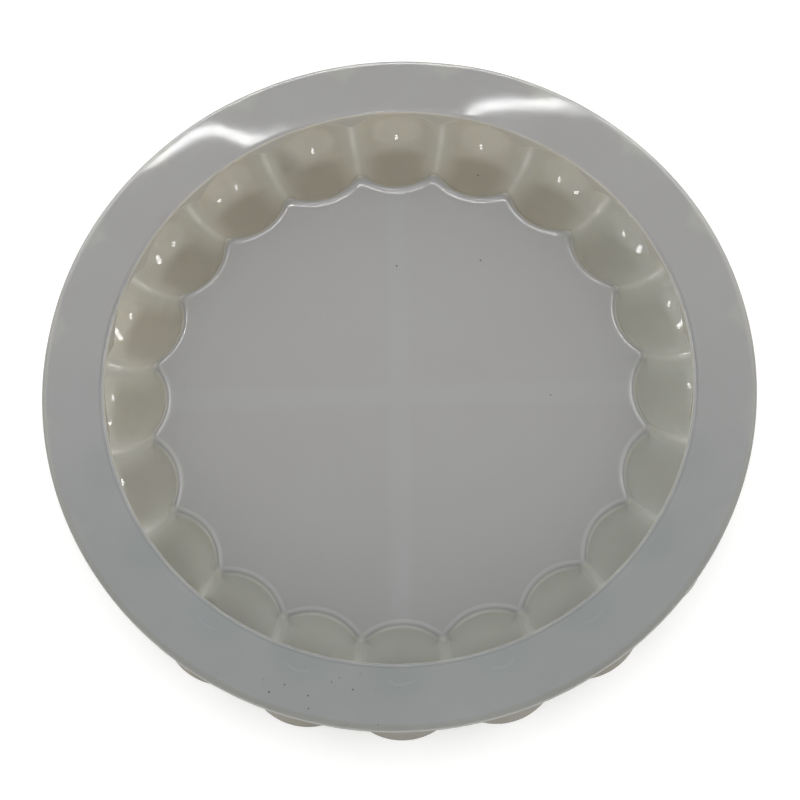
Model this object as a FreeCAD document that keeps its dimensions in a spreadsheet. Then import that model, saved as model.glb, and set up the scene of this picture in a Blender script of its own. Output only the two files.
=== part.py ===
"""Silicone mould for a round resin tray with a bubble edge.

The mould lies open side up. Its base plane is z = 0 and its axis is Z. One ball pocket lies on +X. The mould
is one casting, divided into regions that meet face to face:

  rim_flange        the flat rim, with the opening and the roofs of the pockets
  pocket_01 .. 20   one ball pocket each: shell, fluted outer wall, rounded lip of the deck, and foot
  deck              the raised floor between the pockets
  rib_*             the two crossing ribs under the deck
"""
import FreeCAD, Part
import os

import Sketcher

POCKET_COUNT = 20
QUARTER = POCKET_COUNT // 4
POCKET_STEP = 360.0 / POCKET_COUNT

# Sketcher's numbers for a circle's centre, for the sketch's origin and for the point there.
CENTRE = 3
SKETCH_ORIGIN = -1
START = 1
TINY = 1e-6

# Driving dimensions in millimetres, each with its meaning.
DIMENSIONS = [
    ("mould_height", 33.0, "base plane to the top of the rim"),
    ("rim_radius", 100.0, "outer edge of the rim"),
    ("rim_thickness", 3.0, "thickness of the rim"),
    ("rim_rounding", 0.9, "rounding of the outer edges of the rim"),
    ("opening_radius", 82.4, "edge of the opening in the rim"),
    ("opening_rounding", 0.4, "rounding of the edge of the opening"),
    ("ring_radius", 82.8, "mould axis to a ball's centre"),
    ("ball_depth", 16.5, "top of the rim down to a ball's centre"),
    ("ball_radius", 15.2, "inside radius of a ball pocket"),
    ("shell_radius", 16.8, "outside radius of a pocket's shell"),
    ("deck_depth", 19.5, "top of the rim down to the deck"),
    ("deck_thickness", 3.0, "thickness of the deck"),
    ("lip_rounding", 2.0, "rounding where the deck drops into a pocket"),
    ("rib_width", 3.8, "thickness of a rib under the deck"),
]

RIM_BOTTOM = "(Sizes.mould_height - Sizes.rim_thickness)"
BALL_HEIGHT = "(Sizes.mould_height - Sizes.ball_depth)"
DECK_TOP = "(Sizes.mould_height - Sizes.deck_depth)"
DECK_BOTTOM = f"({DECK_TOP} - Sizes.deck_thickness)"

# The lip is the arc of a circle that touches the deck's top and the ball. Its centre lies below the deck's
# top by its own radius, and outside the ball by the same radius.
LIP_HEIGHT = f"({DECK_TOP} - Sizes.lip_rounding)"
LIP_REACH = "(Sizes.ball_radius + Sizes.lip_rounding)"
LIP_DROP = f"({BALL_HEIGHT} - {LIP_HEIGHT})"
LIP_RADIUS = f"sqrt({LIP_REACH} ^ 2 - {LIP_DROP} ^ 2)"
LIP_TOUCH = f"({BALL_HEIGHT} - {LIP_DROP} * Sizes.ball_radius / {LIP_REACH})"

doc = FreeCAD.newDocument("bubble_tray_mould")


def make_sheet():
    """Writes the driving dimensions into the sheet, one row each."""
    sheet = doc.addObject("Spreadsheet::Sheet", "Sizes")
    for row, (alias, value, meaning) in enumerate(DIMENSIONS, start=1):
        sheet.set(f"A{row}", meaning)
        sheet.set(f"B{row}", str(value))
        sheet.setAlias(f"B{row}", alias)
    doc.recompute()
    return sheet


def solid(kind, name, **bindings):
    """Adds a Part object and binds each of its properties to an expression."""
    item = doc.addObject(f"Part::{kind}", name)
    for prop, expression in bindings.items():
        item.setExpression(prop, expression)
    return item


def place(item, x="0", y="0", z="0", turn=0.0):
    """Binds an object's position, and turns it about the mould's axis."""
    item.Placement = FreeCAD.Placement(FreeCAD.Vector(), FreeCAD.Rotation(turn, 0, 0))
    item.setExpression("Placement.Base.x", f"{x} * 1mm")
    item.setExpression("Placement.Base.y", f"{y} * 1mm")
    item.setExpression("Placement.Base.z", f"{z} * 1mm")
    return item


def place_on_ring(item, index, z, turn=0.0):
    """Puts an object on the axis of one pocket, at a given height."""
    angle = index * POCKET_STEP
    x = f"Sizes.ring_radius * cos({angle} deg)"
    y = f"Sizes.ring_radius * sin({angle} deg)"
    return place(item, x, y, z, angle + turn)


def combine(kind, name, base, tool):
    """Adds a boolean of two objects: Cut, Common or Fuse."""
    item = doc.addObject(f"Part::{kind}", name)
    item.Base = base
    item.Tool = tool
    return item


def make_recess():
    """The open space above the deck, inside the opening of the rim."""
    recess = solid("Cylinder", "recess", Radius="Sizes.opening_radius", Height="Sizes.deck_depth")
    return place(recess, z=DECK_TOP)


def make_shell_ball(index):
    """The outside of one pocket's shell, as a full ball."""
    ball = solid("Sphere", f"shell_ball_{index + 1:02d}", Radius="Sizes.shell_radius")
    return place_on_ring(ball, index, BALL_HEIGHT)


def make_lip_cutter(index):
    """What the rounding takes off the deck's edge, on the pocket's inner half.

    It is a half disc around the pocket's axis, less a half torus whose tube is the rounded lip itself.
    """
    tag = f"{index + 1:02d}"
    disc = solid("Cylinder", f"lip_disc_{tag}", Radius=LIP_RADIUS, Height=f"{DECK_TOP} - {LIP_TOUCH}")
    disc.Angle = 180
    place_on_ring(disc, index, LIP_TOUCH, 90)
    tube = solid("Torus", f"lip_tube_{tag}", Radius1=LIP_RADIUS, Radius2="Sizes.lip_rounding")
    place_on_ring(tube, index, LIP_HEIGHT)
    return combine("Cut", f"lip_cutter_{tag}", disc, tube)


def make_pocket(index, shell_ball, recess):
    """One sector of the pocket ring, from its foot to the underside of the rim."""
    tag = f"{index + 1:02d}"

    flute = solid("Cylinder", f"flute_{tag}", Radius="Sizes.shell_radius",
                  Height=f"{RIM_BOTTOM} - {BALL_HEIGHT}")
    place_on_ring(flute, index, BALL_HEIGHT)
    outside = combine("Fuse", f"outside_{tag}", shell_ball, flute)

    sector = solid("Cylinder", f"sector_{tag}", Radius="Sizes.rim_radius", Height=RIM_BOTTOM)
    sector.Angle = POCKET_STEP
    place(sector, turn=(index - 0.5) * POCKET_STEP)
    block = combine("Common", f"block_{tag}", outside, sector)

    ball = solid("Sphere", f"ball_{tag}", Radius="Sizes.ball_radius")
    place_on_ring(ball, index, BALL_HEIGHT)
    hollowed = combine("Cut", f"hollowed_{tag}", block, ball)
    opened = combine("Cut", f"opened_{tag}", hollowed, recess)

    pocket = combine("Cut", f"pocket_{tag}", opened, make_lip_cutter(index))
    pocket.Label = f"pocket_{tag}"
    return pocket


def origin_item(body, role):
    """One of a body's own origin planes or axes."""
    return next(item for item in body.Origin.OriginFeatures if item.Role == role)


def add_disc(body, name, thickness, *radii):
    """Pads a disc, or a ring if there are two radii, up from a body's XY plane."""
    sketch = body.newObject("Sketcher::SketchObject", f"{name}_outline")
    sketch.AttachmentSupport = [(origin_item(body, "XY_Plane"), "")]
    sketch.MapMode = "FlatFace"
    for radius in radii:
        start = sizes.get(radius)
        circle = sketch.addGeometry(Part.Circle(FreeCAD.Vector(), FreeCAD.Vector(0, 0, 1), start))
        sketch.addConstraint(Sketcher.Constraint("Coincident", circle, CENTRE, SKETCH_ORIGIN, START))
        rule = sketch.addConstraint(Sketcher.Constraint("Radius", circle, start))
        sketch.setExpression(f"Constraints[{rule}]", f"Sizes.{radius}")
    pad = body.newObject("PartDesign::Pad", f"{name}_pad")
    pad.Profile = sketch
    pad.setExpression("Length", thickness)
    doc.recompute()
    return pad


def round_edges(body, name, rounding, base, radius, heights):
    """Rounds the circular edges of a given radius at the given heights."""
    edges = []
    for number, edge in enumerate(base.Shape.Edges, start=1):
        circle = edge.Curve
        same_radius = hasattr(circle, "Radius") and abs(circle.Radius - radius) < TINY
        if same_radius and any(abs(circle.Center.z - height) < TINY for height in heights):
            edges.append(f"Edge{number}")
    fillet = body.newObject("PartDesign::Fillet", name)
    fillet.Base = (base, edges)
    fillet.setExpression("Radius", rounding)
    doc.recompute()
    return fillet


def cut_ball_ring(body, name, radius, height):
    """Cuts a ball at the place of the first pocket, and repeats it around the mould's axis."""
    ball = body.newObject("PartDesign::SubtractiveSphere", f"{name}_ball")
    ball.setExpression("Radius", radius)
    ball.setExpression("Placement.Base.x", "Sizes.ring_radius")
    ball.setExpression("Placement.Base.z", height)
    ring = body.newObject("PartDesign::PolarPattern", f"{name}_balls")
    ring.Originals = [ball]
    ring.Axis = (origin_item(body, "Z_Axis"), [""])
    ring.Occurrences = POCKET_COUNT
    body.Tip = ring
    doc.recompute()
    return ring


def make_rim():
    """The flat rim. The pockets' roofs are hollowed out of its underside."""
    body = doc.addObject("PartDesign::Body", "rim_flange")
    place(body, z=RIM_BOTTOM)
    plate = add_disc(body, "rim", "Sizes.rim_thickness", "rim_radius", "opening_radius")
    thickness = sizes.rim_thickness
    outer = round_edges(body, "outer_rounding", "Sizes.rim_rounding", plate,
                        sizes.rim_radius, (0, thickness))
    round_edges(body, "opening_edge", "Sizes.opening_rounding", outer,
                sizes.opening_radius, (thickness,))
    cut_ball_ring(body, "roof", "Sizes.ball_radius", f"{BALL_HEIGHT} - {RIM_BOTTOM}")
    return body


def make_deck():
    """The raised floor. The pockets' shells bite its edge into scallops."""
    body = doc.addObject("PartDesign::Body", "deck")
    place(body, z=DECK_BOTTOM)
    add_disc(body, "deck", "Sizes.deck_thickness", "opening_radius")
    cut_ball_ring(body, "scallop", "Sizes.shell_radius", f"{BALL_HEIGHT} - {DECK_BOTTOM}")
    return body


def make_rib(name, length, x, y, width, shell_balls):
    """An upright plate from the base plane to the deck, its ends shaped to the pockets that it meets."""
    plate = solid("Box", f"{name}_plate", Length=length, Width=width, Height=DECK_BOTTOM)
    place(plate, x, y)
    rib = plate
    for count, ball in enumerate(shell_balls, start=1):
        rib = combine("Cut", f"{name}_cut_{count}", rib, ball)
    rib.Label = name
    return rib


def make_ribs(shell_balls):
    """One rib goes right across, and the other is in two halves that meet it."""
    right, back, left, front = shell_balls[::QUARTER]
    half = "Sizes.rib_width / 2"
    reach = f"(Sizes.opening_radius - {half})"
    return [
        make_rib("rib_cross", "2 * Sizes.opening_radius", "-Sizes.opening_radius", f"-{half}",
                 "Sizes.rib_width", [right, left]),
        make_rib("rib_back", "Sizes.rib_width", f"-{half}", half, reach, [back]),
        make_rib("rib_front", "Sizes.rib_width", f"-{half}", "-Sizes.opening_radius", reach, [front]),
    ]


def export(nodes):
    """Writes each node to its own file, once the whole document is sound."""
    for item in doc.Objects:
        if "Invalid" in item.State or "Error" in item.State:
            raise RuntimeError(f"{item.Name} did not compute: {item.State}")
    for node in nodes:
        shape = node.Shape
        if shape.isNull() or not shape.isValid() or len(shape.Solids) != 1:
            raise RuntimeError(f"{node.Label} is not one valid solid")
    os.makedirs("parts", exist_ok=True)
    for node in nodes:
        node.Shape.exportStep(os.path.join("parts", f"{node.Label}.step"))
        print(f"{node.Label}: {node.Shape.Volume / 1000:.2f} cm3")


sizes = make_sheet()
recess = make_recess()
shell_balls = [make_shell_ball(index) for index in range(POCKET_COUNT)]
nodes = [make_rim(), make_deck()]
nodes += make_ribs(shell_balls)
nodes += [make_pocket(index, ball, recess) for index, ball in enumerate(shell_balls)]
doc.recompute()
export(nodes)
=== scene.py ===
"""The looks of a silicone mould for a round resin tray with a bubble edge.

Everything is in metres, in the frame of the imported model: base plane z = 0, axis Z, one ball pocket on +X.
The silicone is one seamless skin, swept round the axis. Its section changes with the angle from the nearest
pocket's middle, which makes the balls, their scalloped lips and the fluted outside.
"""
import math

import bpy
import numpy as np
from mathutils import Matrix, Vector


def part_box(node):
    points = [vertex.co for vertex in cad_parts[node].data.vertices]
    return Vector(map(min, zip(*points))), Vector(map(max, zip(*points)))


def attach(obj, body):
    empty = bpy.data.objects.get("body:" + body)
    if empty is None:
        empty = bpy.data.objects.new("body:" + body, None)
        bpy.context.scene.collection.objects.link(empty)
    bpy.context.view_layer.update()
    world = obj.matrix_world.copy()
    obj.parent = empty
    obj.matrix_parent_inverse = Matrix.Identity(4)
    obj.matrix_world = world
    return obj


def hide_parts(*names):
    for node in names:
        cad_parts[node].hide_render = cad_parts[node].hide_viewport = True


MM = 0.001

# The mould, as modelled.
POCKET_COUNT = 20
OPENING_RADIUS = 82.4 * MM
RING_RADIUS = 82.8 * MM
BALL_DEPTH = 16.5 * MM
BALL_RADIUS = 15.2 * MM
SHELL_RADIUS = 16.8 * MM
LIP_ROUNDING = 2.0 * MM
LIP_ROLL = 2.2 * MM
LIP_SLOPE = math.radians(2.2)

# Small roundings and bends of the soft silicone.
OPENING_ROUNDING = 0.8 * MM
RIM_TOP_ROUNDING = 0.9 * MM
RIM_UNDER_ROUNDING = 0.35 * MM
RIM_SINK = 0.22 * MM
RIM_DROOP = 0.5 * MM
RIDGE_SOFTNESS = 0.10
RIB_SINK = 0.6 * MM

# How the far half of the rim tilts, in degrees. Each step lies at a place along X and fades over a width, in
# millimetres. The tilt decides where the rim mirrors the strip light.
BASE_TILT = 0.04
SIDE_TILT = 0.42
SIDE_STEP = (66, 7)
MIDDLE_TILT = 0.17
MIDDLE_START = (-49, 5)
MIDDLE_END = (20, 4)
RIGHT_TILT = 0.16
RIGHT_STEP = (21, 4)
TILT_AXIS = 60
FAR_START = 10
FAR_WIDTH = 45

COLUMNS_PER_POCKET = 36
SHARP_ANGLE = math.radians(50)

# The lights. Places and sizes are in metres, powers in watts, and angles in degrees.
POCKET_TARGET = (0, 0.06, 0.02)
SPARKLE_SIZE = (0.018, 0.05)
SPARKLE_POWER = 0.022
WINDOW_ELEVATION = 50
WINDOW_DISTANCE = 1.5
WINDOW_BRIGHTNESS = 55

# How rough the dull outside and edges are. The glossy faces are much smoother.
DULL_ROUGHNESS = 0.5

# Colours of the silicone, as linear red, green and blue.
RIM_GREY = (0.300, 0.296, 0.292)
DECK_GREY = (0.322, 0.317, 0.310)
NEAR_SHADE_GREY = (0.247, 0.256, 0.253)
NEAR_RIM_SHADE = (0.222, 0.240, 0.237)
THIN_RIM_LIGHT = (0.37, 0.37, 0.325)
RIB_GREY = (0.345, 0.36, 0.357)
SHELL_TONE_AND_SHADE = (0.092, 0.082, 0.052)
EDGE_SHADE = (0.12, 0.125, 0.12)
WALL_WARM = (0.46, 0.44, 0.39)
PAINTED_HIGHLIGHT = (0.50, 0.52, 0.52)
RIDGE_HIGHLIGHT = (0.62, 0.61, 0.56)
POCKET_FAR = (0.62, 0.60, 0.53)
POCKET_FAR_DARK = (0.50, 0.47, 0.395)
POCKET_SIDE = (0.73, 0.72, 0.66)
POCKET_SIDE_DARK = (0.62, 0.60, 0.54)
POCKET_NEAR = (0.66, 0.67, 0.63)
POCKET_NEAR_DARK = (0.46, 0.46, 0.42)
POCKET_RIGHT = (0.575, 0.595, 0.565)
BROWN_PATCH = (0.24, 0.21, 0.15)
DUST = (0.05, 0.05, 0.05)

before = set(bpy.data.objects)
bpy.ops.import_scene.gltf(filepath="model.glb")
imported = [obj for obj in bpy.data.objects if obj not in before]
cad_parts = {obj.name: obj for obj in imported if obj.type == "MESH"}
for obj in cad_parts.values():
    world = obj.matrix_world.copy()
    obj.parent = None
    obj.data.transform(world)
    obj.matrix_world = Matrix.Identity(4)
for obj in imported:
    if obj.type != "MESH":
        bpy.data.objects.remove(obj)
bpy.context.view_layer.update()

RIM_LOW, RIM_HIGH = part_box("rim_flange")
DECK_LOW, DECK_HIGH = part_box("deck")
RIM_RADIUS = RIM_HIGH[0]
RIM_TOP = RIM_HIGH[2]
RIM_BOTTOM = RIM_LOW[2]
DECK_TOP = DECK_HIGH[2]
DECK_BOTTOM = DECK_LOW[2]
BALL_HEIGHT = RIM_TOP - BALL_DEPTH


def steps(count, first=0.0, last=1.0):
    """Evenly spaced numbers as one row."""
    return np.linspace(first, last, count)[None, :]


def blend(start, end, share):
    """From start to end, by a share from 0 to 1."""
    return start + (end - start) * share


class Section:
    """The mould's outline at each angle round the axis, one row of points (r, z) for each column."""

    def __init__(self, fold):
        self.fold = fold[:, None]
        self.middle = RING_RADIUS * np.cos(self.fold)
        self.rows = []

    def half_chord(self, radius):
        """Half of the chord that a circle round a ball's axis leaves in this section."""
        return np.sqrt(radius ** 2 - (RING_RADIUS * np.sin(self.fold)) ** 2)

    def add(self, r, z):
        shape = np.broadcast_shapes(np.shape(r), np.shape(z), (len(self.fold), 1))
        self.rows.append((np.broadcast_to(r, shape), np.broadcast_to(z, shape)))

    def line(self, start, end, count):
        share = steps(count + 1)[:, 1:]
        self.add(blend(start[0], end[0], share), blend(start[1], end[1], share))

    def arc(self, centre, radius, start, end, count):
        angle = blend(start, end, steps(count + 1)[:, 1:])
        self.add(centre[0] + radius * np.cos(angle), centre[1] + radius * np.sin(angle))

    def points(self):
        r = np.concatenate([row[0] for row in self.rows], axis=1)
        z = np.concatenate([row[1] for row in self.rows], axis=1)
        return r, z


def mould_section(fold):
    """The whole closed outline, from the middle of the deck's top to the middle of its underside."""
    quarter = math.pi / 2
    lip_height = DECK_TOP - LIP_ROUNDING
    lip_reach = BALL_RADIUS + LIP_ROUNDING
    lip_drop = BALL_HEIGHT - lip_height
    lip_ring = math.sqrt(lip_reach ** 2 - lip_drop ** 2)
    lip_turn = math.asin(lip_ring / lip_reach)
    s = Section(fold)

    # The deck, its gentle roll at the edge, and the lip that drops into the ball.
    edge_ring = lip_ring - LIP_ROUNDING * math.sin(LIP_SLOPE)
    deck_edge = s.middle - s.half_chord(edge_ring)
    edge_height = lip_height + LIP_ROUNDING * math.cos(LIP_SLOPE)
    level = edge_height + LIP_SLOPE * LIP_ROLL / 2
    s.add((deck_edge - LIP_ROLL) * steps(22)[:, 1:], level)
    inward = (1 - steps(9)[:, 1:]) * LIP_ROLL
    s.add(deck_edge - inward, edge_height + LIP_SLOPE * (inward - inward ** 2 / (2 * LIP_ROLL)))
    turn = LIP_SLOPE + (lip_turn - LIP_SLOPE) * steps(13)[:, 1:] ** 1.4
    reach = lip_ring - LIP_ROUNDING * np.sin(turn)
    s.add(s.middle - s.half_chord(reach), lip_height + LIP_ROUNDING * np.cos(turn))

    # The inside of the ball, round its bottom and up to the wall of the opening.
    touch = lip_ring * BALL_RADIUS / lip_reach
    touch_drop = lip_drop * BALL_RADIUS / lip_reach
    ball = s.half_chord(BALL_RADIUS)
    wall = OPENING_RADIUS - s.middle
    arch = np.sqrt(ball ** 2 - wall ** 2)
    start = np.arctan2(-touch_drop, -s.half_chord(touch))
    s.arc((s.middle, BALL_HEIGHT), ball, start, np.arctan2(arch, wall), 84)

    # The wall of the opening, its rounded edge, and the rim.
    edge = RIM_TOP - OPENING_ROUNDING
    s.line((OPENING_RADIUS, BALL_HEIGHT + arch), (OPENING_RADIUS, edge), 8)
    s.arc((OPENING_RADIUS + OPENING_ROUNDING, edge), OPENING_ROUNDING, 2 * quarter, quarter, 5)
    rim_end = RIM_RADIUS - RIM_TOP_ROUNDING
    s.line((OPENING_RADIUS + OPENING_ROUNDING, RIM_TOP), (rim_end, RIM_TOP), 30)
    s.arc((rim_end, RIM_TOP - RIM_TOP_ROUNDING), RIM_TOP_ROUNDING, quarter, 0, 7)
    under_end = RIM_RADIUS - RIM_UNDER_ROUNDING
    under_edge = RIM_BOTTOM + RIM_UNDER_ROUNDING
    s.line((RIM_RADIUS, RIM_TOP - RIM_TOP_ROUNDING), (RIM_RADIUS, under_edge), 3)
    s.arc((under_end, under_edge), RIM_UNDER_ROUNDING, 0, -quarter, 4)

    # The fluted outside and the shell, cut level at the base plane.
    shell = s.half_chord(SHELL_RADIUS)
    flute = s.middle + shell
    s.line((under_end, RIM_BOTTOM), (flute, RIM_BOTTOM), 8)
    s.line((flute, RIM_BOTTOM), (flute, BALL_HEIGHT), 10)
    drop = BALL_HEIGHT - DECK_BOTTOM
    joint = math.sqrt(SHELL_RADIUS ** 2 - drop ** 2)
    end = np.arctan2(-drop, -s.half_chord(joint))
    s.arc((s.middle, BALL_HEIGHT), shell, 0, end, 72)
    inner = s.middle - s.half_chord(joint)
    share = steps(17)[:, 1:-1]
    s.add(inner * (1 - share), DECK_BOTTOM)

    r, z = s.points()
    return r, np.maximum(z, 0.0)


def fade(x, step):
    """Goes from -1 to 1 round a step, given as its place and its width."""
    return np.tanh((x - step[0]) / step[1])


def soften(r, z, angle):
    """Warps the rim by fractions of a degree, like soft silicone that doesn't lie quite flat."""
    grip = np.clip((z - BALL_HEIGHT) / (RIM_BOTTOM - BALL_HEIGHT), 0, 1) ** 2
    out = np.clip((r - OPENING_RADIUS) / (RIM_RADIUS - OPENING_RADIUS), 0, 1)
    x = r * np.cos(angle) / MM
    y = r * np.sin(angle) / MM
    far = np.clip((y - FAR_START) / FAR_WIDTH, 0, 1)
    far = far * far * (3 - 2 * far)
    sides = SIDE_TILT * (1 + fade(np.abs(x), SIDE_STEP))
    middle = MIDDLE_TILT * (fade(x, MIDDLE_START) - fade(x, MIDDLE_END))
    right = RIGHT_TILT * (1 + fade(x, RIGHT_STEP))
    tilt = sides + middle - right - BASE_TILT
    warped = MM * (y - TILT_AXIS) * np.radians(tilt) * far
    return z - grip * (RIM_SINK + warped + RIM_DROOP * (1 - far) * out ** 2)


def make_skin():
    """The seamless silicone skin as one closed mesh."""
    columns = POCKET_COUNT * COLUMNS_PER_POCKET
    angle = np.arange(columns) * 2 * math.pi / columns
    half_step = math.pi / POCKET_COUNT
    share = 1 - np.abs((angle / half_step + 1) % 2 - 1)
    off_ridge = np.sqrt(share ** 2 + RIDGE_SOFTNESS ** 2)
    fold = half_step * np.clip(1 - off_ridge, 0, 1)

    r, z = mould_section(fold)
    z = soften(r, z, angle[:, None])
    rows = r.shape[1]
    ring = np.stack([r * np.cos(angle)[:, None], r * np.sin(angle)[:, None], z], axis=-1).reshape(-1, 3)
    poles = np.array([[0, 0, z[0, 0]], [0, 0, DECK_BOTTOM]])
    vertices = np.concatenate([ring, poles])
    top, bottom = len(ring), len(ring) + 1

    here = np.arange(columns) * rows
    there = np.roll(here, -1)
    down = np.arange(rows - 1)
    quads = np.stack([(here[:, None] + down), (here[:, None] + down + 1),
                      (there[:, None] + down + 1), (there[:, None] + down)], axis=-1).reshape(-1, 4)
    faces = quads.tolist()
    faces += [[top, a, b] for a, b in zip(here.tolist(), there.tolist())]
    faces += [[bottom, b + rows - 1, a + rows - 1] for a, b in zip(here.tolist(), there.tolist())]

    mesh = bpy.data.meshes.new("silicone_skin")
    mesh.from_pydata(vertices.tolist(), [], faces)
    mesh.validate()
    mesh.shade_smooth()
    mesh.set_sharp_from_angle(angle=SHARP_ANGLE)
    skin = bpy.data.objects.new("silicone_skin", mesh)
    bpy.context.scene.collection.objects.link(skin)
    return skin


def make_rib(name, turn):
    """A rib right across the mould. Its ends follow the balls, and it sinks a little into what it joins."""
    half_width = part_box("rib_cross")[1][1]
    height = np.linspace(0, DECK_BOTTOM + RIB_SINK, 13)
    below = BALL_HEIGHT - np.maximum(height, RIB_SINK)
    end = RING_RADIUS - np.sqrt((SHELL_RADIUS - RIB_SINK) ** 2 - below ** 2)
    outline = [(x, z) for x, z in zip(end, height)] + [(-x, z) for x, z in zip(end[::-1], height[::-1])]
    count = len(outline)
    vertices = [(x, y, z) for y in (-half_width, half_width) for x, z in outline]
    faces = [tuple(range(count)), tuple(range(2 * count - 1, count - 1, -1))]
    faces += [((i + 1) % count, i, count + i, count + (i + 1) % count) for i in range(count)]
    mesh = bpy.data.meshes.new(name)
    mesh.from_pydata(vertices, [], faces)
    mesh.transform(Matrix.Rotation(turn, 4, "Z"))
    rib = bpy.data.objects.new(name, mesh)
    bpy.context.scene.collection.objects.link(rib)
    return rib


def join_ribs(skin):
    """Joins the two crossing ribs under the deck to the skin."""
    for name, turn in (("rib_x", 0), ("rib_y", math.pi / 2)):
        rib = make_rib(name, turn)
        union = skin.modifiers.new(name, "BOOLEAN")
        union.operation = "UNION"
        union.solver = "EXACT"
        union.object = rib
        bpy.context.view_layer.objects.active = skin
        bpy.ops.object.modifier_apply(modifier=union.name)
        bpy.data.objects.remove(rib)
    skin.data.shade_smooth()
    skin.data.set_sharp_from_angle(angle=SHARP_ANGLE)


class Maths:
    """Builds Math and Map Range nodes from plain calls. Lengths in these nodes are in millimetres."""

    def __init__(self, tree):
        self.tree = tree

    def node(self, kind, **settings):
        made = self.tree.nodes.new(kind)
        for name, value in settings.items():
            setattr(made, name, value)
        return made

    def feed(self, socket, value):
        if isinstance(value, bpy.types.NodeSocket):
            self.tree.links.new(value, socket)
        else:
            socket.default_value = value

    def do(self, operation, *values):
        made = self.node("ShaderNodeMath", operation=operation)
        for socket, value in zip(made.inputs, values):
            self.feed(socket, value)
        return made.outputs[0]

    def ramp(self, value, low, high, first=0.0, last=1.0):
        """Goes smoothly from first to last while the value goes from low to high."""
        made = self.node("ShaderNodeMapRange", interpolation_type="SMOOTHSTEP")
        for name, item in (("Value", value), ("From Min", low), ("From Max", high),
                           ("To Min", first), ("To Max", last)):
            self.feed(made.inputs[name], item)
        return made.outputs[0]

    def times(self, *values):
        product = values[0]
        for value in values[1:]:
            product = self.do("MULTIPLY", product, value)
        return product

    def blend(self, share, first, second):
        """Mixes two numbers by a share from 0 to 1."""
        made = self.node("ShaderNodeMix", data_type="FLOAT")
        for socket, value in zip(made.inputs, (share, None, first, second)):
            if value is not None:
                self.feed(socket, value)
        return made.outputs[0]

    def mix(self, share, first, second):
        """Mixes two colours by a share from 0 to 1."""
        made = self.node("ShaderNodeMix", data_type="RGBA")
        self.feed(made.inputs[0], share)
        for socket, colour in ((made.inputs[6], first), (made.inputs[7], second)):
            self.feed(socket, (*colour, 1) if isinstance(colour, tuple) else colour)
        return made.outputs[2]

    def noise(self, scale, detail=2.0, roughness=0.5):
        made = self.node("ShaderNodeTexNoise")
        made.inputs["Scale"].default_value = scale
        made.inputs["Detail"].default_value = detail
        made.inputs["Roughness"].default_value = roughness
        self.feed(made.inputs["Vector"], self.place)
        return made.outputs[0]


def locate(m):
    """Adds the coordinates that the silicone's colours depend on, all in millimetres.

    out is how far a point lies outwards of the nearest ball's axis, across is how far it lies to one side,
    and up is how far it lies above the ball's centre.
    """
    coordinates = m.node("ShaderNodeTexCoord")
    scaled = m.node("ShaderNodeVectorMath", operation="SCALE")
    m.feed(scaled.inputs[0], coordinates.outputs["Object"])
    scaled.inputs["Scale"].default_value = 1 / MM
    m.place = scaled.outputs[0]
    split = m.node("ShaderNodeSeparateXYZ")
    m.feed(split.inputs[0], m.place)
    m.x, m.y, m.z = split.outputs
    m.radius = m.do("SQRT", m.do("ADD", m.do("MULTIPLY", m.x, m.x), m.do("MULTIPLY", m.y, m.y)))
    turn = m.do("MULTIPLY", m.do("ARCTAN2", m.y, m.x), POCKET_COUNT / (2 * math.pi))
    off = m.do("MULTIPLY", m.do("SUBTRACT", turn, m.do("ROUND", turn)), 2 * math.pi / POCKET_COUNT)
    m.out = m.do("SUBTRACT", m.do("MULTIPLY", m.radius, m.do("COSINE", off)), RING_RADIUS / MM)
    m.across = m.do("ABSOLUTE", m.do("MULTIPLY", m.radius, m.do("SINE", off)))
    m.up = m.do("SUBTRACT", m.z, BALL_HEIGHT / MM)
    level = m.do("ADD", m.do("MULTIPLY", m.out, m.out), m.do("MULTIPLY", m.across, m.across))
    m.from_axis = m.do("SQRT", level)
    m.from_ball = m.do("SQRT", m.do("ADD", level, m.do("MULTIPLY", m.up, m.up)))


def mark(m):
    """Marks the parts of the surface by shares from 0 to 1. All places here are in millimetres."""
    m.far = m.ramp(m.y, -20, 70)
    m.near = m.ramp(m.y, 10, -75)
    m.top = m.ramp(m.z, 31.5, 32.1)
    m.lip = m.times(m.ramp(m.from_ball, 17.7, 16.9), m.ramp(m.up, 0, -2))
    m.outside = m.times(m.ramp(m.from_ball, 16.45, 16.7), m.ramp(m.z, 30.4, 29.6), m.ramp(m.radius, 80, 88))
    m.edge = m.ramp(m.radius, 98.2, 98.9)
    m.brim = m.times(m.ramp(m.radius, 84, 83.2), m.ramp(m.radius, 82.3, 82.4), m.ramp(m.z, 31, 31.8))
    m.within = m.times(m.ramp(m.radius, 82.8, 82.45), m.ramp(m.z, 33, 32.2))


def rim_colour(m):
    """The grey of the rim, painted cooler and darker at the front as shade."""
    colour = m.mix(m.ramp(m.y, 40, -80), RIM_GREY, NEAR_SHADE_GREY)

    # Between two flutes nothing stands under the rim, so more light comes through, painted here as a paler
    # rim.
    # At the front the rim is painted darker over a ball, as shade.
    thin_rim_light = m.times(m.ramp(m.from_axis, 16.5, 19.5), m.ramp(m.radius, 86, 92))
    colour = m.mix(m.times(thin_rim_light, m.ramp(m.y, -60, 60, 0.05, 0.4)), colour, THIN_RIM_LIGHT)
    colour = m.mix(m.times(m.near, m.top, m.ramp(m.from_axis, 12, 4), 0.7), colour, NEAR_RIM_SHADE)

    # A faint painted highlight: a pale arc over each ball at the front.
    off_arc = m.do("ABSOLUTE", m.do("SUBTRACT", m.from_axis, 5.3))
    arc = m.times(m.ramp(off_arc, 0.45, 0.1), m.ramp(m.across, 3.8, 2.6))
    share = m.times(m.ramp(m.y, -55, -80), m.top, arc, m.ramp(m.out, 2, 3), 0.08)
    return m.mix(share, colour, PAINTED_HIGHLIGHT)


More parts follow.
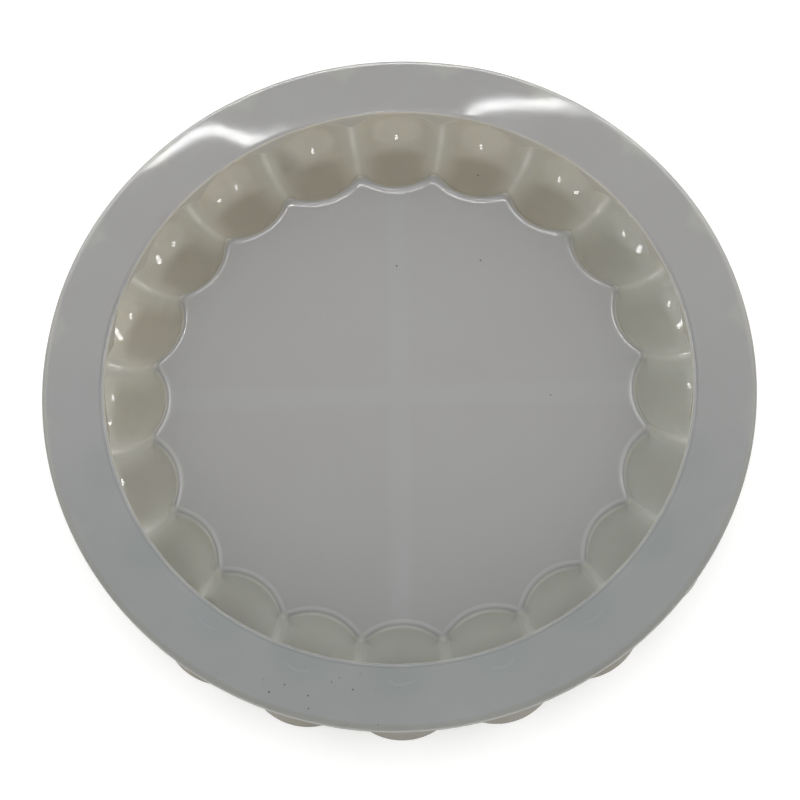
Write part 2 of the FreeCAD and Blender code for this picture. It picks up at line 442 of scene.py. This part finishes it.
def deck_colour(m, colour):
    """The deck, with the two ribs behind it, and its thin lip.

    The deck is painted darker towards the front as shade, the ribs show through as painted paler bands of
    light, and the lip carries a painted highlight.
    """
    deck = m.times(m.ramp(m.radius, 76, 74), m.ramp(m.up, -6, -5))
    # Painted shade: towards the front the deck keeps more of the rim's darker front grey.
    colour = m.mix(m.times(deck, m.ramp(m.y, -70, 20, 0.55, 1.0)), colour, DECK_GREY)
    # Painted light: paler bands where the ribs lie behind the deck.
    rib_x = m.ramp(m.do("ABSOLUTE", m.y), 4.5, 1.2)
    rib_y = m.ramp(m.do("ABSOLUTE", m.x), 4.5, 1.2)
    colour = m.mix(m.times(deck, m.do("MAXIMUM", rib_y, rib_x), 0.22), colour, RIB_GREY)
    # Painted highlight: a pale band along the lip.
    return m.mix(m.times(m.lip, m.ramp(m.y, 20, -60, 0.1, 0.07)), colour, PAINTED_HIGHLIGHT)


def outside_colour(m, colour):
    """The outside, which shows as warm bumps past the rim, and the two edges of the rim.

    The bumps' warm tone is darkened as painted shade, and both edges of the rim are painted darker towards
    the front as shade.
    """
    # Painted shade: the bumps get a warm tone made much darker than the rim.
    colour = m.mix(m.times(m.outside, m.ramp(m.z, 2, 11, 0.55, 1.0)), colour, SHELL_TONE_AND_SHADE)
    # Painted shade: the rim's outer edge is darker towards the front.
    colour = m.mix(m.times(m.edge, m.ramp(m.y, 60, 0, 0.0, 0.35)), colour, SHELL_TONE_AND_SHADE)
    # Painted shade: the opening's edge is darker towards the front.
    return m.mix(m.times(m.brim, m.ramp(m.y, 60, 0, 0.0, 0.5)), colour, EDGE_SHADE)


def pocket_colour(m):
    """The inside of the pockets and the wall of the opening, with painted light and shade.

    They are painted pale and warm where light comes through from outside, and painted darker, as shade,
    where the mould stands on the ground and where the hollow under the deck lies behind. Far, side and near
    pockets each get their own lit and shaded tones, and the pockets on the right are greyer.
    """
    # Painted shade: a dark cap in the far pockets and darker depths in the near ones.
    bound = m.do("SUBTRACT", 3.2, m.times(m.across, m.across, 0.035))
    cap = m.times(m.ramp(m.do("SUBTRACT", bound, m.out), -1.8, 1.8), m.ramp(m.across, 12, 5))
    depth = m.times(m.ramp(m.out, -12, -1), m.ramp(m.across, 13, 8))
    pale = m.mix(m.near, m.mix(m.far, POCKET_SIDE, POCKET_FAR), POCKET_NEAR)
    dark = m.mix(m.near, m.mix(m.far, POCKET_SIDE_DARK, POCKET_FAR_DARK), POCKET_NEAR_DARK)
    inside = m.mix(m.blend(m.near, cap, depth), pale, dark)
    inside = m.mix(m.ramp(m.x, 30, 85, 0.0, 0.55), inside, POCKET_RIGHT)

    # Painted highlights: the ridges between two balls are painted paler, more so at the back. A few faint
    # brown patches lie in the inner half of the pockets on the left.
    beside = m.times(m.ramp(m.across, 9.5, 12), m.ramp(m.up, 8, -2))
    inside = m.mix(m.times(beside, m.ramp(m.y, -80, 0, 0.15, 0.5)), inside, RIDGE_HIGHLIGHT)
    brown_patch = m.times(m.ramp(m.noise(0.045, 2.0), 0.58, 0.72), m.ramp(m.x, 30, -50), m.ramp(m.out, -9, -2))
    inside = m.mix(m.times(brown_patch, 0.5), inside, BROWN_PATCH)
    # Painted shade: the opening's wall above the balls is darker than the pale pocket tones.
    wall = m.times(m.within, m.ramp(m.from_ball, 15.25, 15.6), m.ramp(m.up, 3, 9))
    return m.mix(wall, inside, WALL_WARM)


def pocket_area(m):
    """Where the pocket's colours show: in a ball, on the ridges between balls, and on the opening's wall."""
    ridge = m.times(m.ramp(m.from_ball, 16.7, 16.45), m.ramp(m.across, 8, 9.5), m.ramp(m.up, -14.9, -14.6))
    ridge = m.times(m.do("MAXIMUM", ridge, m.within), m.ramp(m.radius, 71, 73.5))
    return m.do("MAXIMUM", ridge, m.ramp(m.from_ball, 15.9, 15.2))


def silicone_colour(m):
    """The milky grey, warmer in the thin pockets, with slight cloudiness and a few dark specks of dust.

    The pockets' warmth and most tones that shift across the mould are painted light and shade.
    """
    colour = outside_colour(m, deck_colour(m, rim_colour(m)))
    colour = m.mix(pocket_area(m), colour, pocket_colour(m))
    cloud = m.ramp(m.noise(0.03, 3.0), 0.3, 0.7, 0.0, 0.12)
    colour = m.mix(cloud, colour, RIB_GREY)
    return m.mix(m.times(dust(m), 0.8), colour, DUST)


def silicone_roughness(m):
    """Glossy and faintly uneven, but dull on the outside and along the edges, most of all at the front."""
    dull = m.do("MAXIMUM", m.outside, m.times(m.edge, m.ramp(m.y, 90, 40, 0.3, 0.9)))
    inner_edges = m.do("MAXIMUM", m.brim, m.times(m.lip, m.ramp(m.from_ball, 15.25, 15.6)))
    dull = m.do("MAXIMUM", dull, m.times(inner_edges, m.ramp(m.y, 40, -20, 0.0, 0.7)))
    glossy = m.ramp(m.noise(0.2, 3.0), 0.3, 0.7, 0.025, 0.055)
    return m.blend(dull, glossy, DULL_ROUGHNESS)


def specks(m, scale, share):
    """Round specks about half a millimetre across, in a share of the cells of an uneven grid."""
    cells = m.node("ShaderNodeTexVoronoi")
    cells.inputs["Scale"].default_value = scale
    m.feed(cells.inputs["Vector"], m.place)
    pick = m.node("ShaderNodeSeparateColor")
    m.feed(pick.inputs[0], cells.outputs["Color"])
    speck = m.ramp(cells.outputs["Distance"], 0.34 * scale, 0.2 * scale)
    return m.times(speck, m.do("GREATER_THAN", pick.outputs[0], 1 - share))


def dust(m):
    """A few specks all over, and more of them in one place on the rim."""
    patch = m.times(m.ramp(m.x, 5, -15), m.ramp(m.x, -60, -45), m.ramp(m.y, -82, -90))
    return m.do("MAXIMUM", specks(m, 0.16, 0.08), m.times(patch, specks(m, 0.5, 0.3)))


def silicone_material():
    """Milky translucent silicone with a glossy, faintly uneven face."""
    material = bpy.data.materials.new("silicone")
    material.use_nodes = True
    tree = material.node_tree
    shader = tree.nodes["Principled BSDF"]
    m = Maths(tree)
    locate(m)
    mark(m)
    m.feed(shader.inputs["Base Color"], silicone_colour(m))
    m.feed(shader.inputs["Roughness"], silicone_roughness(m))
    shader.inputs["IOR"].default_value = 1.41
    shader.inputs["Subsurface Weight"].default_value = 1.0
    shader.inputs["Subsurface Radius"].default_value = (1.0, 0.95, 0.85)
    shader.inputs["Subsurface Scale"].default_value = 2.0 * MM
    swell = m.node("ShaderNodeBump")
    swell.inputs["Strength"].default_value = 1.0
    swell.inputs["Distance"].default_value = 0.012 * MM
    m.feed(swell.inputs["Height"], m.noise(0.05, 1.0))
    grain = m.node("ShaderNodeBump")
    grain.inputs["Strength"].default_value = 1.0
    grain.inputs["Distance"].default_value = 0.0015 * MM
    m.feed(grain.inputs["Height"], m.noise(0.8, 2.0))
    m.feed(grain.inputs["Normal"], swell.outputs[0])
    m.feed(shader.inputs["Normal"], grain.outputs[0])
    return material


def set_axes(item, right, up, back, place):
    """Puts a camera or a light in its place, looking against back."""
    columns = [(*axis, end) for axis, end in ((right, 0), (up, 0), (back, 0), (place, 1))]
    item.matrix_world = Matrix(columns).transposed()


def add_camera():
    """The camera, above and in front of the mould, turned slightly about its own axis."""
    azimuth = math.radians(4.36)
    elevation = math.radians(68.76)
    roll = math.radians(-5.30)
    distance = 508.4 * MM
    back = np.array([math.sin(azimuth) * math.cos(elevation), -math.cos(azimuth) * math.cos(elevation),
                     math.sin(elevation)])
    right = np.cross(-back, [0, 0, 1])
    right /= np.linalg.norm(right)
    up = np.cross(back, right)
    turned_right = math.cos(roll) * right + math.sin(roll) * up
    turned_up = -math.sin(roll) * right + math.cos(roll) * up
    place = np.array([0, 0, RIM_TOP]) + back * distance

    data = bpy.data.cameras.new("camera")
    data.lens = 81.86
    data.sensor_width = 36
    data.shift_x = 0.0036
    data.shift_y = -0.0361
    data.clip_start = 0.01
    camera = bpy.data.objects.new("camera", data)
    set_axes(camera, turned_right, turned_up, back, place)
    bpy.context.scene.collection.objects.link(camera)
    bpy.context.scene.camera = camera


def add_floor():
    mesh = bpy.data.meshes.new("floor")
    reach = 3.0
    corners = [(-reach, -reach, 0), (reach, -reach, 0), (reach, reach, 0), (-reach, reach, 0)]
    mesh.from_pydata(corners, [], [(0, 1, 2, 3)])
    floor = bpy.data.objects.new("floor", mesh)
    bpy.context.scene.collection.objects.link(floor)
    material = bpy.data.materials.new("floor")
    material.use_nodes = True
    shader = material.node_tree.nodes["Principled BSDF"]
    shader.inputs["Base Color"].default_value = (0.9, 0.9, 0.9, 1)
    shader.inputs["Roughness"].default_value = 0.9
    shader.inputs["Specular IOR Level"].default_value = 0.1
    shader.inputs["Emission Color"].default_value = (1, 1, 1, 1)
    shader.inputs["Emission Strength"].default_value = 0.28
    mesh.materials.append(material)


def add_light(name, place, target, size, power):
    """A rectangular light that faces a point."""
    data = bpy.data.lights.new(name, "AREA")
    data.shape = "RECTANGLE"
    data.size, data.size_y = size
    data.energy = power
    light = bpy.data.objects.new(name, data)
    back = np.array(place, float) - np.array(target, float)
    back /= np.linalg.norm(back)
    right = np.cross([0, 0, 1], back)
    right /= np.linalg.norm(right)
    up = np.cross(back, right)
    set_axes(light, right, up, back, place)
    bpy.context.scene.collection.objects.link(light)
    return light


def seen_at(azimuth, elevation, distance):
    """The place at a distance from the origin, in a direction in degrees."""
    turn = math.radians(azimuth)
    rise = math.radians(elevation)
    level = distance * math.cos(rise)
    return (level * math.cos(turn), level * math.sin(turn), distance * math.sin(rise))


def add_lights():
    """The lights that the silicone mirrors. They show only in reflections, and don't light the mould."""
    panes = [add_light("strip", (0, 0.741, 1.233), (0, 0, 0), (3.0, 0.011), 2.6)]
    panes.append(add_light("lamp", (0.002, -0.145, 0.437), POCKET_TARGET, (0.045, 0.10), 0.22))
    for name, x in (("left_sparkle", -0.38), ("right_sparkle", 0.40)):
        panes.append(add_light(name, (x, -0.135, 0.42), POCKET_TARGET, SPARKLE_SIZE, SPARKLE_POWER))
    for name, azimuth, size in (("window", 90, (1.0, 0.2)), ("left_window", 142, (0.9, 0.26)),
                                ("right_window", 38, (0.9, 0.26))):
        place = seen_at(azimuth, WINDOW_ELEVATION, WINDOW_DISTANCE)
        panes.append(add_light(name, place, (0, 0, 0), size, WINDOW_BRIGHTNESS * size[0] * size[1]))
    for pane in panes:
        pane.visible_diffuse = False
        pane.visible_transmission = False


def add_world():
    world = bpy.data.worlds.new("studio")
    world.use_nodes = True
    background = world.node_tree.nodes["Background"]
    background.inputs["Color"].default_value = (1, 1, 1, 1)
    background.inputs["Strength"].default_value = 1.2
    bpy.context.scene.world = world


silicone = silicone_material()
skin = make_skin()
join_ribs(skin)
skin.data.materials.append(silicone)
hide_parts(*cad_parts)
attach(skin, "root")

add_floor()
add_world()
add_lights()
add_camera()
bpy.context.scene.view_settings.view_transform = "Standard"

bpy.context.view_layer.update()
